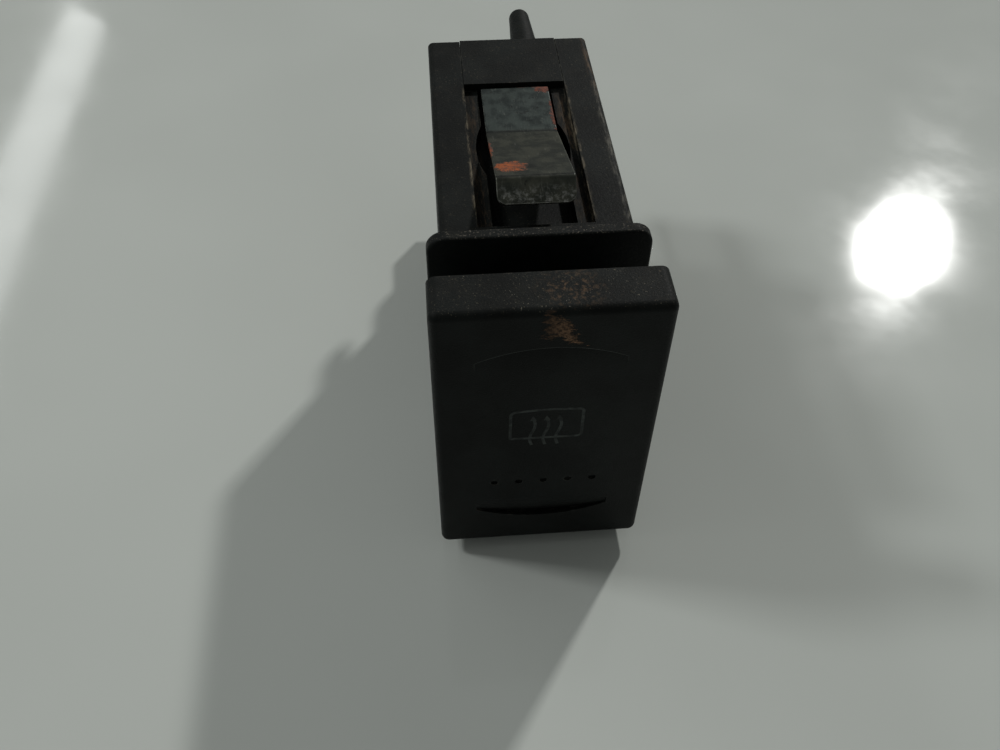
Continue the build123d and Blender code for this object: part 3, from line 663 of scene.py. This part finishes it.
# ---- spring clips: each one folded strip of steel ---------------------------------------------
STRIP = 0.5 * MM
HEEL_Y = FOOT_HIGH.y - STRIP / 2
HEEL_RISE = 0.25 * MM
PEAK = Vector((PEAK_Y, LEAF_HIGH.z - 0.3 * MM))
TIP = Vector((LEAF_LOW.y + 0.17 * MM, 19.9 * MM))
BEND_RADII = mm(0.6, 0.5, 0.35)
HALF_WIDTH = (LEAF_HIGH.x - LEAF_LOW.x) / 2
CLIP_CORNER = 1.0 * MM
CLIP_EDGE = 0.05 * MM
TIP_HALF_WIDTH = 0.2 * MM
SPACING, TIP_SPACING = mm(0.6, 0.08)
# Where the columns of points lie across the strip, as shares of its half width.
COLUMNS = (-1.0, -0.985, -0.96, -0.7, -0.4, -0.15, 0.15, 0.4, 0.7, 0.96, 0.985, 1.0)
DENT_DEPTH, DENT_SIZE = mm(0.05, 3.5)


def clip_path():
    """The strip's middle line (y, z) from heel to tip, with its bends as arcs."""
    fold = (FOLD.y, FOLD.z - STRIP / 2)
    route = [(HEEL_Y, FOOT_LOW.z), (HEEL_Y, fold[1] - HEEL_RISE), fold, tuple(PEAK), tuple(TIP)]
    bends = rounded(route, BEND_RADII)
    path = [bends[0]]
    for before, after in zip(bends, bends[1:]):
        spacing = TIP_SPACING if after == bends[-1] else SPACING
        pieces = max(1, round((after - before).length / spacing))
        path += [before.lerp(after, k / pieces) for k in range(1, pieces + 1)]
    return path


def lengths_left(path):
    """How much of the path lies between each point and the end."""
    backward = list(reversed(path))
    lengths = [0.0]
    for before, after in zip(backward, backward[1:]):
        lengths.append(lengths[-1] + (after - before).length)
    return list(reversed(lengths))


def clip_strip(sign):
    """The strip, sign 1 for the upper clip and -1 for the lower one."""
    def make(bm):
        path = clip_path()
        sections = []
        for index, (point, left) in enumerate(zip(path, lengths_left(path))):
            along = (path[min(index + 1, len(path) - 1)] - path[max(index - 1, 0)]).normalized()
            out = Vector((along.y, -along.x))
            short = max(0.0, CLIP_CORNER - left)
            rounding = math.sqrt(max(CLIP_CORNER ** 2 - short ** 2, TIP_HALF_WIDTH ** 2))
            width = HALF_WIDTH - CLIP_CORNER + rounding
            ring = []
            for side in (1, -1):
                for column in COLUMNS:
                    x = column * side * width
                    thick = STRIP / 2 - (CLIP_EDGE if abs(column) == 1.0 else 0.0)
                    dent = DENT_DEPTH * noise.noise(Vector((x, point.x, point.y)) / DENT_SIZE)
                    spot = point + out * (side * thick + dent)
                    ring.append((x, spot.x, sign * spot.y))
            sections.append(ring)
        loop_strip(bm, sections)
    return make


def add_clips():
    upper = new_piece("upper_clip_strip", clip_strip(1), FINISH["spring_steel"], None)
    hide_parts("upper_clip_foot", "upper_clip_leaf")
    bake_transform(upper)
    lower = new_piece("lower_clip_strip", clip_strip(-1), FINISH["spring_steel"], "housing")
    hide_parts("lower_spring_clip")


# ---- plunger spring: a coil that rides on the plunger -----------------------------------------
COIL_RADIUS = 1.15 * MM
WIRE = 0.3 * MM
COIL_TURNS = 7
TURN_STEPS = 20
WIRE_POINTS = 8


def spring_axis():
    """The coil's middle, its direction towards the front, and its length along it."""
    low, high = span("plunger_spring")
    forward = Vector(joints["plunger_slide"]["axis"]).normalized()
    width = 2 * COIL_RADIUS + WIRE
    length = ((high.y - low.y) - width * abs(forward.z)) / abs(forward.y) - WIRE
    return (low + high) / 2, forward, length


def coil(bm):
    middle, forward, length = spring_axis()
    side = Vector((1, 0, 0))
    up = forward.cross(side)
    steps = TURN_STEPS * COIL_TURNS
    sections = []
    for k in range(steps + 1):
        turn = 2 * math.pi * COIL_TURNS * k / steps
        outward = side * math.cos(turn) + up * math.sin(turn)
        centre = middle + forward * length * (k / steps - 0.5) + outward * COIL_RADIUS
        ring = []
        for j in range(WIRE_POINTS):
            angle = 2 * math.pi * j / WIRE_POINTS
            ring.append(centre + (outward * math.cos(angle) + forward * math.sin(angle)) * WIRE / 2)
        sections.append(ring)
    loop_strip(bm, sections)


def add_spring():
    spring = new_piece("plunger_coil", coil, FINISH["spring_steel"], "plunger")
    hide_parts("plunger_spring")
    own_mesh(spring)


# ---- floor, light and camera --------------------------------------------------------------------
FLOOR_REACH = 3.0
TUBE_PLACE = (-0.9, 1.1, 1.15)
TUBE_TURN = (0.0, math.radians(-38), 0.0)
LEFT_PLACE = (-0.88, 0.25, 0.83)
RIGHT_PLACE = (1.61, 2.36, 2.09)
ROOM_TINT = (0.96, 1.0, 0.97, 1.0)
ROOM_STRENGTH = 0.155
CAMERA_PLACE = mm(-10.9, -77.3, 83.8)
CAMERA_ANGLES = (41.395, -0.487, -4.561)
LENS, SENSOR = 34.4, 36.0
NEAREST = 5 * MM


def add_floor():
    """A plain sheet at the part's lowest point."""
    height = cad_bounds[0][2]
    low, high = -FLOOR_REACH, FLOOR_REACH
    mesh = bpy.data.meshes.new("floor")
    bm = bmesh.new()
    corners = ((low, low), (high, low), (high, high), (low, high))
    bm.faces.new([bm.verts.new((x, y, height)) for x, y in corners])
    bm.to_mesh(mesh)
    bm.free()
    floor = bpy.data.objects.new("floor", mesh)
    bpy.context.scene.collection.objects.link(floor)
    mesh.materials.append(table_top())


def towards_part(place):
    """The rotation that aims a lamp at place towards the part."""
    return (-Vector(place)).to_track_quat("-Z", "Y").to_euler()


def add_light(name, place, turn, size, power, tint):
    """A rectangular lamp; size in metres, power in watts."""
    data = bpy.data.lights.new(name, "AREA")
    data.shape = "RECTANGLE"
    data.size, data.size_y = size
    data.energy = power
    data.color = tint
    lamp = bpy.data.objects.new(name, data)
    lamp.location = place
    lamp.rotation_euler = turn
    bpy.context.scene.collection.objects.link(lamp)


def add_lights():
    """A long ceiling tube and a lamp to the left, a ceiling lamp at the right rear, a pale room."""
    add_light("left_tube", TUBE_PLACE, TUBE_TURN, (0.10, 2.6), 2.8, (0.98, 1.0, 0.985))
    add_light("left_lamp", LEFT_PLACE, towards_part(LEFT_PLACE), (0.16, 0.16), 3.5, (0.98, 1.0, 0.99))
    add_light("right_lamp", RIGHT_PLACE, towards_part(RIGHT_PLACE), (0.17, 0.17), 50.0, (1.0, 1.0, 0.975))
    world = bpy.data.worlds.new("studio")
    world.use_nodes = True
    backdrop = world.node_tree.nodes["Background"]
    backdrop.inputs["Color"].default_value = ROOM_TINT
    backdrop.inputs["Strength"].default_value = ROOM_STRENGTH
    bpy.context.scene.world = world
    bpy.context.scene.view_settings.view_transform = "Standard"


def add_camera():
    """The photo's viewpoint, from a fit to the switch's straight edges."""
    data = bpy.data.cameras.new("camera")
    data.lens = LENS
    data.sensor_width = SENSOR
    data.clip_start = NEAREST
    camera = bpy.data.objects.new("camera", data)
    camera.location = CAMERA_PLACE
    camera.rotation_euler = tuple(math.radians(angle) for angle in CAMERA_ANGLES)
    bpy.context.scene.collection.objects.link(camera)
    bpy.context.scene.camera = camera


dress_cad_nodes()
add_clips()
add_spring()
add_symbol()
add_floor()
add_lights()
add_camera()
